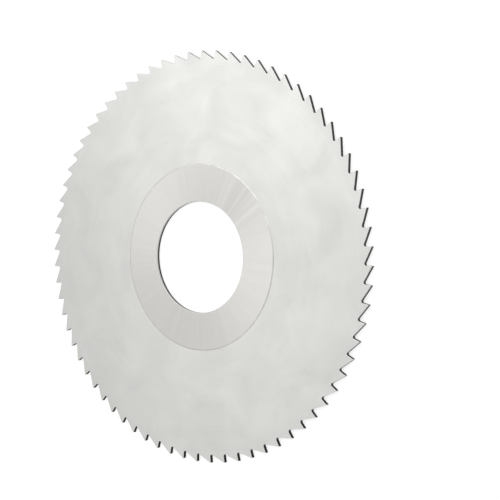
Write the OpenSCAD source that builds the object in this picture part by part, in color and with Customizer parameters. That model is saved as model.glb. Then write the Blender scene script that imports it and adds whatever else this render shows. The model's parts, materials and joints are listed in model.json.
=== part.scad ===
// Plain slitting saw: a thin ground disc with straight-backed pointed teeth, sides hollow-ground
// for clearance, a flat hub ring and a plain arbor bore. It lies flat, with the bore axis on Z,
// its lower hub face on z = 0 and the cutting edge of one tooth on +X.

/* [Blade] */
// Diameter over the tooth tips
outer_d = 100; // [70:1:200]
// Thickness over the hub and over the tooth tips
blade_t = 1.0; // [0.6:0.1:6]

/* [Hub and bore] */
// Diameter of the arbor bore
bore_d = 27; // [13:0.5:40]
// Width of the flat hub ring around the bore
hub_w = 9; // [3:0.5:12]
// Width of the slope from the hub face down to the hollow-ground side
hub_slope_w = 0.25; // [0.1:0.05:1]
// Chamfer at both ends of the bore
bore_chamfer = 0.15; // [0.05:0.05:0.25]

/* [Side clearance] */
// Depth ground off each side at the foot of the hub, running out to nothing at the tips
hollow_depth = 0.12; // [0.05:0.01:0.2]

/* [Teeth] */
// Number of teeth
teeth = 72; // [24:1:130]
// Lean of the cutting face from the radius, positive where it undercuts the tip
rake_angle = 0; // [-5:0.5:12]
// Fall of the straight tooth back below the tangent at its heel
back_angle = 31; // [24:0.5:45]
// Width of the narrow land left behind each cutting edge
land_w = 0.12; // [0.05:0.01:0.3]
// Radius at the bottom of each gullet
gullet_r = 0.4; // [0.15:0.05:0.5]

/* [Hidden] */
// Fineness of the curves
$fa = 1;
$fs = 0.1;
// How far the round gullet bottom cuts past both tooth flanks, so that it crosses them cleanly
root_overlap = 0.005;

tip_r = outer_d / 2;
bore_r = bore_d / 2;
hub_r = bore_r + hub_w;
hub_foot_r = hub_r + hub_slope_w;
// Depth ground off each side for every millimetre inwards from the tips
side_slope = hollow_depth / (tip_r - hub_foot_r);
pitch_angle = 360 / teeth;
// How far one shape runs past the faces that another cuts off it
overrun = blade_t;
// Angle at the axis across the land
land_angle = land_w / tip_r * 180 / PI;

function polar(r, angle) = r * [cos(angle), sin(angle)];
// Where the line through p along u meets the line through q along v
function crossing(p, u, q, v) = p + u * cross(q - p, v) / cross(u, v);

// The gullet ahead of the cutting edge on +X: the cutting face runs inwards from that edge, and the
// back of the next tooth comes down from its heel to meet it in a corner, which a circle rounds.
edge = polar(tip_r, 0);
face_dir = -polar(1, rake_angle);
heel_angle = pitch_angle - land_angle;
heel = polar(tip_r, heel_angle);
back_dir = polar(1, heel_angle - 90 - back_angle);
corner = crossing(edge, face_dir, heel, back_dir);
half_corner = acos(face_dir * back_dir) / 2;
out_dir = -(face_dir + back_dir) / norm(face_dir + back_dir);
root_inset = gullet_r - root_overlap;
root_centre = corner + out_dir * root_inset / sin(half_corner);
root_reach = root_inset / tan(half_corner);

module gullet() {
    polygon([
        edge - face_dir * overrun,
        corner - face_dir * root_reach,
        root_centre,
        corner - back_dir * root_reach,
        heel - back_dir * land_w
    ]);
    translate(root_centre)
        circle(r = gullet_r);
}

// Outline of the blade seen along its axis
module toothed_outline() {
    difference() {
        circle(r = tip_r);
        for (i = [0 : teeth - 1])
            rotate(i * pitch_angle)
                gullet();
    }
}

// Half section of the disc, from the chamfered bore to just past the tips
module disc_section() {
    polygon([
        [bore_r, bore_chamfer],
        [bore_r + bore_chamfer, 0],
        [hub_r, 0],
        [hub_foot_r, hollow_depth],
        [tip_r + overrun, -side_slope * overrun],
        [tip_r + overrun, blade_t + side_slope * overrun],
        [hub_foot_r, blade_t - hollow_depth],
        [hub_r, blade_t],
        [bore_r + bore_chamfer, blade_t],
        [bore_r, blade_t - bore_chamfer]
    ]);
}

module saw_blade() {
    color([0.82, 0.82, 0.8])
        intersection() {
            rotate_extrude()
                disc_section();
            translate([0, 0, -overrun])
                linear_extrude(height = blade_t + 2 * overrun)
                    toothed_outline();
        }
}

saw_blade();
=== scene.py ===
"""Slitting saw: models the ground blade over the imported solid, lays it on a pale floor and lights it."""

import json
import math
from collections import namedtuple
from functools import cached_property

import bmesh
import bpy
from bpy.props import FloatProperty, FloatVectorProperty, IntProperty, PointerProperty
from mathutils import Matrix, Vector


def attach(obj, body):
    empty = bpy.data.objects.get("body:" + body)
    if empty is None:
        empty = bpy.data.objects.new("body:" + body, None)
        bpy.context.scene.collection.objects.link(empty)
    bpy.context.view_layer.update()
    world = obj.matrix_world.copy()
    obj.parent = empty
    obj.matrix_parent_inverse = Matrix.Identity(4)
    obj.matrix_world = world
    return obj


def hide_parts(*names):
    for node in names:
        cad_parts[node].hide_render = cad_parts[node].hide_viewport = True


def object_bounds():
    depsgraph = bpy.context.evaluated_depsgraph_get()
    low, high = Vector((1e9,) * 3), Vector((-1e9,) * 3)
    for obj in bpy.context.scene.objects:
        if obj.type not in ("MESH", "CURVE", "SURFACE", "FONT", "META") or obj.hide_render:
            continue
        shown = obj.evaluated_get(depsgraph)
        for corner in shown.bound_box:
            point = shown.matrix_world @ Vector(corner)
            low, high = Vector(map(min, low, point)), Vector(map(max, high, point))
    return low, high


bl_info = {
    "name": "Slitting Saw",
    "version": (1, 0, 0),
    "blender": (4, 5, 0),
    "location": "View3D > Sidebar > Saw",
    "description": "Models a ground slitting saw and a plain stage for it",
    "category": "Object",
}

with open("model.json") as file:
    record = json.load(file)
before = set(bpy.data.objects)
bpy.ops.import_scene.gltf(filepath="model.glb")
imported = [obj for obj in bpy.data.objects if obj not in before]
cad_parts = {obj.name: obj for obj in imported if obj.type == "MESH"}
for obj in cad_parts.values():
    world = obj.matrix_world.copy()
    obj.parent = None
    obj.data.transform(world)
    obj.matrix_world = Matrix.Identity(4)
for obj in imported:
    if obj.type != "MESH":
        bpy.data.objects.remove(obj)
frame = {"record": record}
CAD_LOW, CAD_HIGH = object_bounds()

MM = 0.001
AXIS = Vector((0.0, 0.0, 1.0))
CENTRE = Vector((0.0, 0.0, 0.0))
NODE = "saw_blade"

# Places of the finishes in the blade's material slots
SIDE, HUB, SLOPE, TOOTH, BORE, EDGE = range(6)

# Faces whose normal rises more than this are sides, hub rings and slopes, and the others are walls
FLAT_RISE = 0.5

# Edges that turn more than this are broken, and those that turn more than the second shade sharp
BREAK_ANGLE = math.radians(40)
SHARP_ANGLE = math.radians(14)
BREAK_SEGMENTS = 2
MERGE_DISTANCE = 0.001 * MM

# How far large faces lead in the shading, where 50 is neutral and 100 the most
LARGE_FACE_LEAD = 100

# Name of the share of tooth back stored on the walls, and how far outwards a wall looks where the share
# starts and is full
BACK_SHARE = "back_share"
SHARE_START, SHARE_FULL = 0.05, 0.6

# Stretch of a wall's pattern whose marks run along the axis or round it
AXIAL_MARKS = (1.0, 1.0, 0.15)
ROUND_MARKS = (0.08, 0.08, 1.0)

# Range in which most values of a noise lie
NOISE_LOW, NOISE_HIGH = 0.3, 0.7

Patch = namedtuple("Patch", "angle width")

# Patches of the patterns that follow the turning: their reach around the axis and along the radius
SIDE_RINGS = Patch(math.radians(36), 2.4 * MM)
SIDE_LINES = Patch(math.radians(14), 0.15 * MM)
SIDE_SCRATCHES = Patch(math.radians(8), 0.42 * MM)
HUB_STREAKS = Patch(math.radians(6.4), 80 * MM)
# The fan's patches make the streaks of a painted dark reflection on one side of the hub ring
PAINTED_HUB_FAN = Patch(math.radians(5.2), 170 * MM)
HUB_LINES = Patch(math.radians(0.44), 11 * MM)

# How far the patterns move the roughness about its middle: darker patches are rougher
SIDE_GLOSS, HUB_GLOSS, WALL_GLOSS = 0.03, 0.02, 0.06

# Values of the noise between which a scratch and a streak of the painted fan set in
SCRATCH_START, SCRATCH_FULL = 0.66, 0.74
PAINTED_STREAK_START, PAINTED_STREAK_FULL = 0.42, 0.6

# Shares of the hub's colour between the painted fan's streaks and within them, a painted dark reflection
PAINTED_FAN_LIGHT, PAINTED_FAN_DARK = 1.01, 0.92

# Cosines of the angles from the painted fan's heading at which it starts and is full
PAINTED_FAN_START, PAINTED_FAN_FULL = 0.9, 0.985

# Nearest that the camera sees
NEAR_CLIP = 10 * MM

SoftBox = namedtuple("SoftBox", "name towards power")

# Square soft lights: the way to each from the middle of the blade, and its watts
SOFT_BOXES = (
    SoftBox("high_box", (-0.22, 0.48, 0.85), 0.65),
    SoftBox("main_box", (-0.5, 0.25, 0.8), 0.48),
    SoftBox("far_box", (-0.75, 0.25, 0.65), 0.4),
    SoftBox("near_box", (-0.2, -0.4, 0.85), 0.36),
)


def mount(name):
    """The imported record's mount of that name."""
    return next(m for m in frame["record"]["mounts"] if m["name"] == name)


class BladeSettings(bpy.types.PropertyGroup):
    """Sizes of the blade."""

    tip_radius: FloatProperty(
        name="Tip radius",
        description="From the bore axis to the cutting edges",
        default=CAD_HIGH.x,
        unit="LENGTH",
    )
    thickness: FloatProperty(
        name="Thickness",
        description="Thickness over the hub and over the tooth tips",
        default=CAD_HIGH.z - CAD_LOW.z,
        unit="LENGTH",
    )
    bore_radius: FloatProperty(
        name="Bore radius",
        description="Radius of the arbor bore",
        default=mount("arbor_bore")["dims"]["r_mm"] * MM,
        unit="LENGTH",
    )
    bore_chamfer: FloatProperty(
        name="Bore chamfer",
        description="Chamfer at both ends of the bore",
        default=0.15 * MM,
        unit="LENGTH",
    )
    hub_width: FloatProperty(
        name="Hub width",
        description="Width of the flat ring around the bore",
        default=9 * MM,
        unit="LENGTH",
    )
    hub_slope: FloatProperty(
        name="Hub slope",
        description="Width of the slope from the hub ring to the hollow-ground side",
        default=0.25 * MM,
        unit="LENGTH",
    )
    hollow_depth: FloatProperty(
        name="Hollow depth",
        description="Depth ground off each side at the foot of the hub",
        default=0.12 * MM,
        unit="LENGTH",
    )
    teeth: IntProperty(name="Teeth", description="Number of teeth", default=72, min=8)
    back_angle: FloatProperty(
        name="Back angle",
        description="Fall of the tooth back below the tangent at its heel",
        default=math.radians(31),
        subtype="ANGLE",
    )
    land_width: FloatProperty(
        name="Land width",
        description="Width of the land behind each cutting edge",
        default=0.12 * MM,
        unit="LENGTH",
    )
    gullet_radius: FloatProperty(
        name="Gullet radius",
        description="Radius at the bottom of each gullet",
        default=0.4 * MM,
        unit="LENGTH",
    )
    web_margin: FloatProperty(
        name="Web margin",
        description="Width of plain side kept between the gullets and the first inner ring of faces",
        default=0.6 * MM,
        unit="LENGTH",
    )
    edge_break: FloatProperty(
        name="Edge break",
        description="Width of the small bevel on every edge",
        default=0.04 * MM,
        unit="LENGTH",
    )
    arc_steps: IntProperty(
        name="Arc steps",
        description="Faces in each half of a gullet's round bottom",
        default=6,
        min=2,
    )
    ring_steps: IntProperty(
        name="Ring steps",
        description="Faces around the bore and hub for every tooth",
        default=5,
        min=2,
    )


class FinishSettings(bpy.types.PropertyGroup):
    """Colours, gloss and marks of the ground steel, with painted dark reflections on the tooth walls, the
    bore and one side of the hub ring, and a painted highlight on the sides.
    """

    side_colour: FloatVectorProperty(
        name="Side",
        description="Colour of the hollow-ground sides",
        default=(0.75, 0.748, 0.7285),
        subtype="COLOR",
        size=3,
    )
    hub_colour: FloatVectorProperty(
        name="Hub",
        description="Colour of the flat hub ring",
        default=(0.748, 0.738, 0.71),
        subtype="COLOR",
        size=3,
    )
    slope_colour: FloatVectorProperty(
        name="Hub slope",
        description="Colour of the narrow slope around the hub ring",
        default=(0.72, 0.715, 0.695),
        subtype="COLOR",
        size=3,
    )
    # Tooth backs and cutting faces are coloured near black as painted dark reflection, far darker than
    # their ground steel
    painted_dark_back_colour: FloatVectorProperty(
        name="Tooth backs",
        description="Colour of the ground tooth backs and lands",
        default=(0.04, 0.04, 0.0385),
        subtype="COLOR",
        size=3,
    )
    painted_dark_face_colour: FloatVectorProperty(
        name="Cutting faces",
        description="Colour of the darker cutting faces",
        default=(0.02, 0.02, 0.019),
        subtype="COLOR",
        size=3,
    )
    # The bore's near-black colour is painted dark reflection, far darker than its ground steel
    painted_dark_bore_colour: FloatVectorProperty(
        name="Bore",
        description="Colour of the bore's wall",
        default=(0.06, 0.06, 0.058),
        subtype="COLOR",
        size=3,
    )
    edge_colour: FloatVectorProperty(
        name="Edges",
        description="Colour of the broken edges, worn bright",
        default=(0.82, 0.815, 0.795),
        subtype="COLOR",
        size=3,
    )
    side_roughness: FloatProperty(
        name="Side roughness",
        description="Roughness of the sides",
        default=0.42,
        subtype="FACTOR",
    )
    hub_roughness: FloatProperty(
        name="Hub roughness",
        description="Roughness of the hub ring",
        default=0.39,
        subtype="FACTOR",
    )
    slope_roughness: FloatProperty(
        name="Slope roughness",
        description="Roughness of the hub slope",
        default=0.42,
        subtype="FACTOR",
    )
    back_roughness: FloatProperty(
        name="Back roughness",
        description="Roughness of the tooth backs",
        default=0.12,
        subtype="FACTOR",
    )
    face_roughness: FloatProperty(
        name="Face roughness",
        description="Roughness of the cutting faces",
        default=0.5,
        subtype="FACTOR",
    )
    bore_roughness: FloatProperty(
        name="Bore roughness",
        description="Roughness of the bore's wall",
        default=0.15,
        subtype="FACTOR",
    )
    edge_roughness: FloatProperty(
        name="Edge roughness",
        description="Roughness of the broken edges",
        default=0.28,
        subtype="FACTOR",
    )
    side_brushing: FloatProperty(
        name="Side brushing",
        description="How much the round grinding lines stretch the gloss of the sides",
        default=0.2,
        subtype="FACTOR",
    )
    hub_brushing: FloatProperty(
        name="Hub brushing",
        description="How much the radial grinding lines stretch the gloss of the hub ring",
        default=0.55,
        subtype="FACTOR",
    )
    cloud_size: FloatProperty(
        name="Cloud size",
        description="Size of the cloudy patches on the sides",
        default=12 * MM,
        unit="LENGTH",
    )
    cloud_strength: FloatProperty(
        name="Cloud strength",
        description="How much the cloudy patches lighten and darken the sides",
        default=0.055,
        subtype="FACTOR",
    )
    ring_strength: FloatProperty(
        name="Ring strength",
        description="How much the faint rings lighten and darken the sides",
        default=0.012,
        subtype="FACTOR",
    )
    line_strength: FloatProperty(
        name="Line strength",
        description="How much the round grinding lines lighten and darken the sides",
        default=0.019,
        subtype="FACTOR",
    )
    scratch_strength: FloatProperty(
        name="Scratch strength",
        description="How much the few scratches darken the sides",
        default=0.03,
        subtype="FACTOR",
    )
    # Painted highlight: the sides are coloured lighter near the hub and dimmer towards the teeth
    painted_highlight_falloff: FloatProperty(
        name="Rim dimming",
        description="How much dimmer the sides are at the teeth than at the hub",
        default=0.07,
        subtype="FACTOR",
    )
    streak_strength: FloatProperty(
        name="Streak strength",
        description="How much the faint streaks lighten and darken the hub ring",
        default=0.022,
        subtype="FACTOR",
    )
    hub_line_strength: FloatProperty(
        name="Hub line strength",
        description="How much the radial grinding lines lighten and darken the hub ring",
        default=0.025,
        subtype="FACTOR",
    )
    # The fan of darker streaks is a painted dark reflection at one heading of the hub ring
    painted_fan_heading: FloatProperty(
        name="Fan heading",
        description="Where on the hub ring the fan of darker streaks lies",
        default=math.radians(65),
        subtype="ANGLE",
    )
    wall_mark: FloatProperty(
        name="Wall mark",
        description="Width of the marks on the narrow walls",
        default=0.19 * MM,
        unit="LENGTH",
    )
    wall_strength: FloatProperty(
        name="Wall mark strength",
        description="How much the marks lighten and darken the narrow walls",
        default=0.12,
        subtype="FACTOR",
    )
    line_depth: FloatProperty(
        name="Line depth",
        description="Depth of the grinding lines and marks",
        default=0.0025 * MM,
        unit="LENGTH",
    )


class StageSettings(bpy.types.PropertyGroup):
    """Camera, floor and lights."""

    floor_size: FloatProperty(
        name="Floor size",
        description="Side of the square floor",
        default=4.0,
        unit="LENGTH",
    )
    floor_gap: FloatProperty(
        name="Floor gap",
        description="Hair's breadth between the floor and the blade's lower face",
        default=0.02 * MM,
        unit="LENGTH",
    )
    floor_colour: FloatVectorProperty(
        name="Floor",
        description="Colour of the floor",
        default=(0.4, 0.4, 0.4),
        subtype="COLOR",
        size=3,
    )
    floor_glow: FloatProperty(
        name="Floor glow",
        description="Light of the floor's own, where it is seen or mirrored",
        default=0.75,
    )
    sky: FloatProperty(
        name="Sky",
        description="Strength of the even light from all around",
        default=0.59,
    )
    box_distance: FloatProperty(
        name="Soft box distance",
        description="From the middle of the blade to each soft light",
        default=0.7,
        unit="LENGTH",
    )
    box_size: FloatProperty(
        name="Soft box size",
        description="Side of each square soft light",
        default=0.5,
        unit="LENGTH",
    )
    view_azimuth: FloatProperty(
        name="View azimuth",
        description="Turn of the camera around the axis, from looking along +Y",
        default=math.radians(109.03),
        subtype="ANGLE",
    )
    view_elevation: FloatProperty(
        name="View elevation",
        description="Height of the camera above the floor as an angle",
        default=math.radians(51.97),
        subtype="ANGLE",
    )
    view_roll: FloatProperty(
        name="View roll",
        description="Turn of the camera about its own line of sight",
        default=math.radians(92.52),
        subtype="ANGLE",
    )
    view_aim: FloatVectorProperty(
        name="View aim",
        description="Point on the upper hub plane at the middle of the picture",
        default=(14.61 * MM, 6.31 * MM, CAD_HIGH.z),
        subtype="XYZ",
        unit="LENGTH",
        size=3,
    )
    view_distance: FloatProperty(
        name="View distance",
        description="From the camera to its aim",
        default=334.8 * MM,
        unit="LENGTH",
    )
    lens: FloatProperty(
        name="Lens",
        description="Focal length in millimetres",
        default=102.1,
        unit="CAMERA",
    )
    sensor: FloatProperty(
        name="Sensor",
        description="Width of the camera's sensor in millimetres",
        default=36.0,
        unit="CAMERA",
    )


def polar(radius, angle):
    """A point in the plane of the blade."""
    return Vector((radius * math.cos(angle), radius * math.sin(angle), 0.0))


def crossing(p, u, q, v):
    """Where the line through p along u meets the line through q along v, in the plane of the blade."""
    return p + u * (q - p).cross(v).z / u.cross(v).z


def turned(point, angle):
    """A point turned about the bore axis."""
    return Matrix.Rotation(angle, 3, AXIS) @ point


class BladeForm:
    """Radii and tooth points worked out from the blade's settings."""

    def __init__(self, s):
        self.s = s
        self.chamfer_radius = s.bore_radius + s.bore_chamfer
        self.hub_radius = s.bore_radius + s.hub_width
        self.foot_radius = self.hub_radius + s.hub_slope
        self.pitch = 2 * math.pi / s.teeth
        land_angle = s.land_width / s.tip_radius
        self.edge = polar(s.tip_radius, 0.0)
        self.heel = polar(s.tip_radius, -land_angle)
        # The gullet ahead: this tooth's cutting face meets the next tooth's back in a round corner
        heel_angle = self.pitch - land_angle
        face_dir = -polar(1.0, 0.0)
        back_dir = polar(1.0, heel_angle - math.pi / 2 - s.back_angle)
        corner = crossing(self.edge, face_dir, polar(s.tip_radius, heel_angle), back_dir)
        half = face_dir.angle(back_dir) / 2
        outward = -(face_dir + back_dir).normalized()
        reach = s.gullet_radius / math.tan(half)
        self.root_centre = corner + outward * (s.gullet_radius / math.sin(half))
        self.face_end = corner - face_dir * reach
        self.back_end = turned(corner - back_dir * reach, -self.pitch)
        self.root_angle = math.atan2(self.root_centre.y, self.root_centre.x)
        self.root_radius = self.root_centre.length - s.gullet_radius
        self.web_radius = self.root_radius - s.web_margin

    def height(self, radius):
        """Height of the upper side at a radius, from the bore's chamfer to the tips."""
        s = self.s
        if radius < self.chamfer_radius:
            return s.thickness - (self.chamfer_radius - radius)
        if radius < self.hub_radius:
            return s.thickness
        if radius < self.foot_radius:
            return s.thickness - s.hollow_depth * (radius - self.hub_radius) / s.hub_slope
        return s.thickness - s.hollow_depth * (s.tip_radius - radius) / (s.tip_radius - self.foot_radius)


def arc(bm, start, centre, angle, steps):
    """Spins a new vertex about a centre and returns the vertices of the arc in order."""
    first = bm.verts.new(start)
    bmesh.ops.spin(bm, geom=[first], cent=centre, axis=AXIS, angle=angle, steps=steps, use_merge=False)
    chain = [first]
    while len(chain) <= steps:
        last = chain[-1]
        chain.append(next(e.other_vert(last) for e in last.link_edges if e.other_vert(last) not in chain))
    return chain


def swing(centre, start, end):
    """Signed angle about a centre from one point to another."""
    a, b = start - centre, end - centre
    return math.atan2(a.cross(b).z, a.dot(b))


def tooth_sector(bm, form):
    """One tooth's share of the upper side, flat, from gullet bottom to gullet bottom."""
    s = form.s
    bottom = polar(form.root_radius, form.root_angle)
    behind = turned(bottom, -form.pitch)
    centre_behind = turned(form.root_centre, -form.pitch)
    rise = swing(centre_behind, behind, form.back_end)
    fall = swing(form.root_centre, form.face_end, bottom)
    up = arc(bm, behind, centre_behind, rise, s.arc_steps)
    down = arc(bm, form.face_end, form.root_centre, fall, s.arc_steps)
    web = arc(bm, polar(form.web_radius, form.root_angle), CENTRE, -form.pitch, s.ring_steps)
    heel, edge = bm.verts.new(form.heel), bm.verts.new(form.edge)
    bm.faces.new(up + [heel, edge] + down + web)
    rim = [e for e in bm.edges if e.verts[0] in web and e.verts[1] in web]
    for radius in (form.foot_radius, form.hub_radius, form.chamfer_radius, s.bore_radius):
        made = bmesh.ops.extrude_edge_only(bm, edges=rim)["geom"]
        verts = [v for v in made if isinstance(v, bmesh.types.BMVert)]
        scale = radius / verts[0].co.length
        bmesh.ops.scale(bm, vec=(scale, scale, 1.0), verts=verts)
        rim = [e for e in made if isinstance(e, bmesh.types.BMEdge) and all(v in verts for v in e.verts)]


def repeat_teeth(bm, form):
    """Turns copies of the first sector round the axis and joins them into one disc."""
    copies = form.s.teeth - 1
    bmesh.ops.spin(
        bm,
        geom=bm.verts[:] + bm.edges[:] + bm.faces[:],
        cent=CENTRE,
        axis=AXIS,
        angle=form.pitch * copies,
        steps=copies,
        use_duplicate=True,
    )
    bmesh.ops.remove_doubles(bm, verts=bm.verts[:], dist=MERGE_DISTANCE)


def close_disc(bm, form):
    """Lifts the flat disc to the upper side's heights, and closes it with walls and a lower side."""
    for v in bm.verts:
        v.co.z = form.height(v.co.xy.length)
    made = bmesh.ops.extrude_face_region(bm, geom=bm.faces[:], use_keep_orig=True)["geom"]
    for v in made:
        if isinstance(v, bmesh.types.BMVert):
            v.co.z = form.s.thickness - v.co.z
    bmesh.ops.recalc_face_normals(bm, faces=bm.faces[:])


def finish_of(face, form):
    """The finish that a face takes, by where it lies and which way it looks."""
    radius = face.calc_center_median().xy.length
    if abs(face.normal.z) <= FLAT_RISE:
        return BORE if radius < form.hub_radius else TOOTH
    if radius < form.hub_radius:
        return HUB
    return SLOPE if radius < form.foot_radius else SIDE


def break_edges(bm, width):
    """Bevels every corner by a hair and gives the new faces the bright finish of the edges."""
    corners = [e for e in bm.edges if e.is_manifold and e.calc_face_angle() > BREAK_ANGLE]
    broken = bmesh.ops.bevel(
        bm,
        geom=corners,
        offset=width,
        offset_type="OFFSET",
        affect="EDGES",
        segments=BREAK_SEGMENTS,
        profile=0.5,
        material=-1,
        clamp_overlap=True,
    )["faces"]
    for f in broken:
        f.material_index = EDGE


def store_back_share(bm):
    """Stores on each wall point how far the wall has turned there from cutting face to tooth back."""
    layer = bm.verts.layers.float.new(BACK_SHARE)
    for v in bm.verts:
        walls = [f.normal for f in v.link_faces if f.material_index == TOOTH]
        if walls:
            outward = sum(walls, Vector()).normalized().dot(v.co.xy.normalized().to_3d())
            v[layer] = min(max((outward - SHARE_START) / (SHARE_FULL - SHARE_START), 0.0), 1.0)


def blade_mesh(form):
    """The blade's mesh: one tooth sector turned round the axis, closed below and with broken edges."""
    bm = bmesh.new()
    tooth_sector(bm, form)
    repeat_teeth(bm, form)
    close_disc(bm, form)
    for f in bm.faces:
        f.material_index = finish_of(f, form)
        f.smooth = True
    break_edges(bm, form.s.edge_break)
    store_back_share(bm)
    mesh = bpy.data.meshes.new("ground_blade")
    bm.to_mesh(mesh)
    bm.free()
    mesh.set_sharp_from_angle(angle=SHARP_ANGLE)
    return mesh


class Finish:
    """A steel finish whose nodes are added and joined one at a time."""

    def __init__(self, name):
        self.material = bpy.data.materials.new(name)
        self.material.use_nodes = True
        self.tree = self.material.node_tree
        self.place = self.add("ShaderNodeTexCoord").outputs["Object"]

    def add(self, kind, values=(), **settings):
        """A new node with its settings and, by input number or name, its values or incoming links."""
        node = self.tree.nodes.new(kind)
        for key, value in settings.items():
            setattr(node, key, value)
        for key, value in dict(values).items():
            if isinstance(value, bpy.types.NodeSocket):
                self.tree.links.new(value, node.inputs[key])
            else:
                node.inputs[key].default_value = value
        return node

    def vector(self, operation, first, second=None):
        """The vector that an operation makes of one or two vectors."""
        values = {0: first} if second is None else {0: first, 1: second}
        return self.add("ShaderNodeVectorMath", values, operation=operation).outputs["Vector"]

    @cached_property
    def flat_place(self):
        """The place seen along the axis."""
        return self.vector("MULTIPLY", self.place, (1.0, 1.0, 0.0))

    @cached_property
    def radius(self):
        """Distance of the place from the axis."""
        node = self.add("ShaderNodeVectorMath", {0: self.flat_place}, operation="LENGTH")
        return node.outputs["Value"]

    @cached_property
    def outward(self):
        """The way from the axis to the place, one unit long."""
        return self.vector("NORMALIZE", self.flat_place)

    @cached_property
    def around(self):
        """The way round the axis at the place, one unit long."""
        return self.vector("CROSS_PRODUCT", AXIS, self.outward)

    def facing(self, heading):
        """Cosine of the angle about the axis between the place and a heading."""
        values = {0: self.outward, 1: polar(1.0, heading)}
        return self.add("ShaderNodeVectorMath", values, operation="DOT_PRODUCT").outputs["Value"]

    def polar_place(self, patch):
        """A place for a pattern that follows the turning, scaled so that each patch is one unit."""
        turns = self.vector("MULTIPLY", self.outward, (1.0 / patch.angle, 1.0 / patch.angle, 0.0))
        rise = self.product(self.radius, 1.0 / patch.width)
        return self.vector("ADD", turns, self.add("ShaderNodeCombineXYZ", {2: rise}).outputs[0])

    def noise(self, place, detail=2.0, roughness=0.5, distortion=0.0):
        """A soft noise between 0 and 1, with patches about one unit across."""
        values = {
            "Vector": place,
            "Scale": 1.0,
            "Detail": detail,
            "Roughness": roughness,
            "Distortion": distortion,
        }
        return self.add("ShaderNodeTexNoise", values).outputs["Fac"]

    def span(self, value, low, high, start=NOISE_LOW, end=NOISE_HIGH):
        """A number that runs from low to high while another runs from start to end."""
        values = {0: value, 1: start, 2: end, 3: low, 4: high}
        return self.add("ShaderNodeMapRange", values, clamp=True).outputs[0]

    def vary(self, value, spread, middle=1.0):
        """A number that a noise moves about its middle by up to the spread."""
        return self.span(value, middle - spread, middle + spread)

    def product(self, first, second):
        """Two numbers multiplied."""
        return self.add("ShaderNodeMath", {0: first, 1: second}, operation="MULTIPLY").outputs[0]

    def mixed(self, factor, first, second):
        """A number that runs from the first to the second as the factor runs from 0 to 1."""
        return self.add("ShaderNodeMix", {0: factor, 2: first, 3: second}).outputs[0]

    def blend(self, factor, first, second):
        """A colour that runs from the first to the second as the factor runs from 0 to 1."""
        values = {0: factor, 6: (*first, 1.0), 7: (*second, 1.0)}
        return self.add("ShaderNodeMix", values, data_type="RGBA").outputs[2]

    def tint(self, colour, share):
        """A colour times a share that varies over the surface."""
        base = colour if isinstance(colour, bpy.types.NodeSocket) else (*colour, 1.0)
        grey = self.add("ShaderNodeCombineColor", {0: share, 1: share, 2: share}).outputs[0]
        values = {0: 1.0, 6: base, 7: grey}
        return self.add("ShaderNodeMix", values, data_type="RGBA", blend_type="MULTIPLY").outputs[2]

    def bump(self, height, depth):
        """A bump as deep as the given length."""
        values = {"Height": height, "Distance": depth, "Strength": 1.0}
        return self.add("ShaderNodeBump", values).outputs[0]

    def steel(self, colour, roughness, normal, brushed=0.0, across=None):
        """The material, with colour, roughness and normal joined to its metal shader.

        Brushing stretches the gloss across the grinding lines.
        """
        inputs = self.tree.nodes["Principled BSDF"].inputs
        inputs["Metallic"].default_value = 1.0
        inputs["Anisotropic"].default_value = brushed
        joined = {"Base Color": colour, "Roughness": roughness, "Normal": normal}
        if across is not None:
            joined["Tangent"] = across
        for name, socket in joined.items():
            self.tree.links.new(socket, inputs[name])
        return self.material


def side_finish(s, form):
    """Hollow-ground side: pale satin steel with clouds, faint rings, fine round grinding lines, and a
    painted highlight that makes it lighter at the hub and dimmer at the teeth.
    """
    f = Finish("hollow_ground_side")
    patches = f.vector("MULTIPLY", f.place, Vector((1.0, 1.0, 1.0)) / s.cloud_size)
    clouds = f.noise(patches, detail=3.0, distortion=0.6)
    rings = f.noise(f.polar_place(SIDE_RINGS))
    lines = f.noise(f.polar_place(SIDE_LINES), detail=3.0, roughness=0.6)
    scratches = f.noise(f.polar_place(SIDE_SCRATCHES), detail=1.0)
    # Painted highlight: the colour runs from lighter at the hub to dimmer at the teeth
    light, dim = 1.0 + s.painted_highlight_falloff / 2, 1.0 - s.painted_highlight_falloff / 2
    dimming = f.span(f.radius, light, dim, form.hub_radius, form.s.tip_radius)
    scratched = f.span(scratches, 1.0, 1.0 - s.scratch_strength, SCRATCH_START, SCRATCH_FULL)
    cloudy = f.product(f.vary(clouds, s.cloud_strength), f.vary(rings, s.ring_strength))
    ground = f.product(f.vary(lines, s.line_strength), scratched)
    return f.steel(
        f.tint(s.side_colour, f.product(f.product(dimming, cloudy), ground)),
        f.vary(clouds, -SIDE_GLOSS, s.side_roughness),
        f.bump(lines, s.line_depth),
        brushed=s.side_brushing,
        across=f.outward,
    )


def hub_finish(s):
    """Hub ring: fine grinding lines out from the axis, faint streaks all round, and a painted dark
    reflection as a fan of darker streaks at one heading.
    """
    f = Finish("ground_hub_ring")
    streaks = f.noise(f.polar_place(HUB_STREAKS), detail=3.0, roughness=0.55)
    lines = f.noise(f.polar_place(HUB_LINES), roughness=0.6)
    painted_fan_streaks = f.noise(f.polar_place(PAINTED_HUB_FAN), detail=1.0)
    # Painted dark reflection: darker streaks only on the side of the hub that faces the fan's heading
    fan = f.span(f.facing(s.painted_fan_heading), 0.0, 1.0, PAINTED_FAN_START, PAINTED_FAN_FULL)
    painted_fan_share = f.mixed(fan, 1.0, f.span(painted_fan_streaks, PAINTED_FAN_LIGHT, PAINTED_FAN_DARK, PAINTED_STREAK_START, PAINTED_STREAK_FULL))
    streaky = f.product(f.vary(streaks, s.streak_strength), f.vary(lines, s.hub_line_strength))
    return f.steel(
        f.tint(s.hub_colour, f.product(streaky, painted_fan_share)),
        f.vary(streaks, -HUB_GLOSS, s.hub_roughness),
        f.bump(lines, s.line_depth),
        brushed=s.hub_brushing,
        across=f.around,
    )


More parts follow.
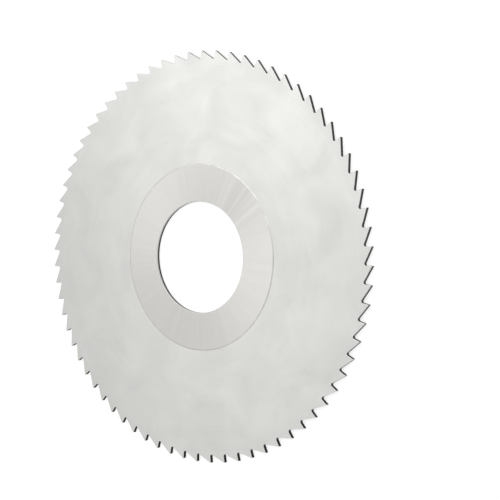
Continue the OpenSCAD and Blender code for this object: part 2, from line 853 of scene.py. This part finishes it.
def wall_marks(f, stretch, s):
    """Fine marks of a narrow wall, which run the way that the pattern is stretched."""
    return f.noise(f.vector("MULTIPLY", f.place, Vector(stretch) / s.wall_mark))


def tooth_finish(s):
    """Tooth walls: near-black cutting faces that lighten through the gullets to the smoother backs; both
    colours are painted dark reflection, far darker than ground steel.
    """
    f = Finish("tooth_wall")
    share = f.add("ShaderNodeAttribute", attribute_name=BACK_SHARE).outputs["Fac"]
    marks = wall_marks(f, AXIAL_MARKS, s)
    # The two near-black wall colours blended here are painted dark reflection
    return f.steel(
        f.tint(f.blend(share, s.painted_dark_face_colour, s.painted_dark_back_colour), f.vary(marks, s.wall_strength)),
        f.mixed(share, s.face_roughness, s.back_roughness),
        f.bump(marks, s.line_depth),
    )


def wall_finish(name, colour, roughness, stretch, s):
    """A narrow wall of one colour with fine marks."""
    f = Finish(name)
    marks = wall_marks(f, stretch, s)
    return f.steel(
        f.tint(colour, f.vary(marks, s.wall_strength)),
        f.vary(marks, -WALL_GLOSS, roughness),
        f.bump(marks, s.line_depth),
    )


def keep_flats_flat(piece):
    """Weighs normals by face area, so that the broken edges don't bend the shading of the flats."""
    weigh = piece.modifiers.new("Flat sides", "WEIGHTED_NORMAL")
    weigh.mode = "FACE_AREA"
    weigh.weight = LARGE_FACE_LEAD
    weigh.keep_sharp = True


def add_object(name, data):
    """A new object in the scene."""
    made = bpy.data.objects.new(name, data)
    bpy.context.scene.collection.objects.link(made)
    return made


class SAW_OT_build_blade(bpy.types.Operator):
    """Model the toothed blade and give its surfaces their finishes"""

    bl_idname = "saw.build_blade"
    bl_label = "Build Blade"

    def execute(self, context):
        s = context.scene.saw_finish
        form = BladeForm(context.scene.saw_blade)
        mesh = blade_mesh(form)
        finishes = {
            SIDE: side_finish(s, form),
            HUB: hub_finish(s),
            SLOPE: wall_finish("hub_slope", s.slope_colour, s.slope_roughness, ROUND_MARKS, s),
            TOOTH: tooth_finish(s),
            # The bore wall takes a near-black colour of painted dark reflection
            BORE: wall_finish("bore_wall", s.painted_dark_bore_colour, s.bore_roughness, ROUND_MARKS, s),
            EDGE: wall_finish("bright_edge", s.edge_colour, s.edge_roughness, AXIAL_MARKS, s),
        }
        for index in sorted(finishes):
            mesh.materials.append(finishes[index])
        blade = add_object("ground_saw_blade", mesh)
        keep_flats_flat(blade)
        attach(blade, "root")
        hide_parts(NODE)
        return {"FINISHED"}


def white_paper(colour, glow):
    """Matt paper that takes the blade's shadow, and glows to white where it is seen or mirrored."""
    paper = bpy.data.materials.new("white_paper")
    paper.use_nodes = True
    nodes, links = paper.node_tree.nodes, paper.node_tree.links
    shader = nodes["Principled BSDF"]
    shader.inputs["Base Color"].default_value = (*colour, 1.0)
    shader.inputs["Roughness"].default_value = 1.0
    shader.inputs["Specular IOR Level"].default_value = 0.0
    shader.inputs["Emission Color"].default_value = (1.0, 1.0, 1.0, 1.0)
    ray = nodes.new("ShaderNodeLightPath")
    seen = ray.outputs["Is Camera Ray"]
    for kind in ("Is Glossy Ray", "Is Transmission Ray"):
        either = nodes.new("ShaderNodeMath")
        either.operation = "MAXIMUM"
        links.new(seen, either.inputs[0])
        links.new(ray.outputs[kind], either.inputs[1])
        seen = either.outputs[0]
    strength = nodes.new("ShaderNodeMath")
    strength.operation = "MULTIPLY"
    strength.inputs[1].default_value = glow
    links.new(seen, strength.inputs[0])
    links.new(strength.outputs[0], shader.inputs["Emission Strength"])
    return paper


def studio_floor(stage):
    """A pale matt floor, a hair below the blade."""
    bm = bmesh.new()
    bmesh.ops.create_grid(bm, x_segments=1, y_segments=1, size=stage.floor_size / 2)
    bmesh.ops.translate(bm, vec=(0.0, 0.0, -stage.floor_gap), verts=bm.verts[:])
    mesh = bpy.data.meshes.new("floor")
    bm.to_mesh(mesh)
    bm.free()
    mesh.materials.append(white_paper(stage.floor_colour, stage.floor_glow))
    floor = add_object("floor", mesh)


def studio_sky(strength):
    """Even white light from all around."""
    world = bpy.data.worlds.new("studio_sky")
    world.use_nodes = True
    background = world.node_tree.nodes["Background"]
    background.inputs["Color"].default_value = (1.0, 1.0, 1.0, 1.0)
    background.inputs["Strength"].default_value = strength
    bpy.context.scene.world = world


def soft_box(box, stage):
    """A square soft light that faces the middle of the blade."""
    light = bpy.data.lights.new(box.name, "AREA")
    light.shape = "SQUARE"
    light.size = stage.box_size
    light.energy = box.power
    lamp = add_object(box.name, light)
    away = Vector(box.towards).normalized()
    lamp.location = away * stage.box_distance
    lamp.rotation_euler = away.to_track_quat("Z", "Y").to_euler()


def studio_camera(stage):
    """A camera at the photograph's angle to the blade's face."""
    a, e = stage.view_azimuth, stage.view_elevation
    back = Vector((math.sin(a) * math.cos(e), -math.cos(a) * math.cos(e), math.sin(e)))
    data = bpy.data.cameras.new("camera")
    data.sensor_width = stage.sensor
    data.lens = stage.lens
    data.clip_start = NEAR_CLIP
    camera = add_object("camera", data)
    level = (-back).to_track_quat("-Z", "Y").to_matrix()
    turn = level @ Matrix.Rotation(-stage.view_roll, 3, "Z")
    camera.location = Vector(stage.view_aim) + back * stage.view_distance
    camera.rotation_euler = turn.to_euler()
    bpy.context.scene.camera = camera


class SAW_OT_build_stage(bpy.types.Operator):
    """Set up the pale floor, the soft lights and the camera"""

    bl_idname = "saw.build_stage"
    bl_label = "Build Stage"

    def execute(self, context):
        stage = context.scene.saw_stage
        context.scene.view_settings.view_transform = "Standard"
        studio_floor(stage)
        studio_sky(stage.sky)
        for box in SOFT_BOXES:
            soft_box(box, stage)
        studio_camera(stage)
        return {"FINISHED"}


class VIEW3D_PT_slitting_saw(bpy.types.Panel):
    """Sidebar panel with the saw's sizes, finishes and stage"""

    bl_idname = "VIEW3D_PT_slitting_saw"
    bl_label = "Slitting Saw"
    bl_space_type = "VIEW_3D"
    bl_region_type = "UI"
    bl_category = "Saw"

    def draw(self, context):
        scene = context.scene
        for title, settings, operator in (
            ("Blade", scene.saw_blade, SAW_OT_build_blade.bl_idname),
            ("Finish", scene.saw_finish, None),
            ("Stage", scene.saw_stage, SAW_OT_build_stage.bl_idname),
        ):
            box = self.layout.box()
            box.label(text=title)
            for name in settings.__annotations__:
                box.prop(settings, name)
            if operator:
                box.operator(operator)


CLASSES = (
    BladeSettings,
    FinishSettings,
    StageSettings,
    SAW_OT_build_blade,
    SAW_OT_build_stage,
    VIEW3D_PT_slitting_saw,
)


def register():
    """Adds the classes to Blender and the settings to the scene."""
    for cls in CLASSES:
        bpy.utils.register_class(cls)
    bpy.types.Scene.saw_blade = PointerProperty(type=BladeSettings)
    bpy.types.Scene.saw_finish = PointerProperty(type=FinishSettings)
    bpy.types.Scene.saw_stage = PointerProperty(type=StageSettings)


def unregister():
    """Takes the settings and the classes away again."""
    del bpy.types.Scene.saw_stage
    del bpy.types.Scene.saw_finish
    del bpy.types.Scene.saw_blade
    for cls in reversed(CLASSES):
        bpy.utils.unregister_class(cls)


def main():
    """Builds the stage and the blade."""
    register()
    bpy.ops.saw.build_stage()
    bpy.ops.saw.build_blade()


if __name__ == "__main__":
    main()
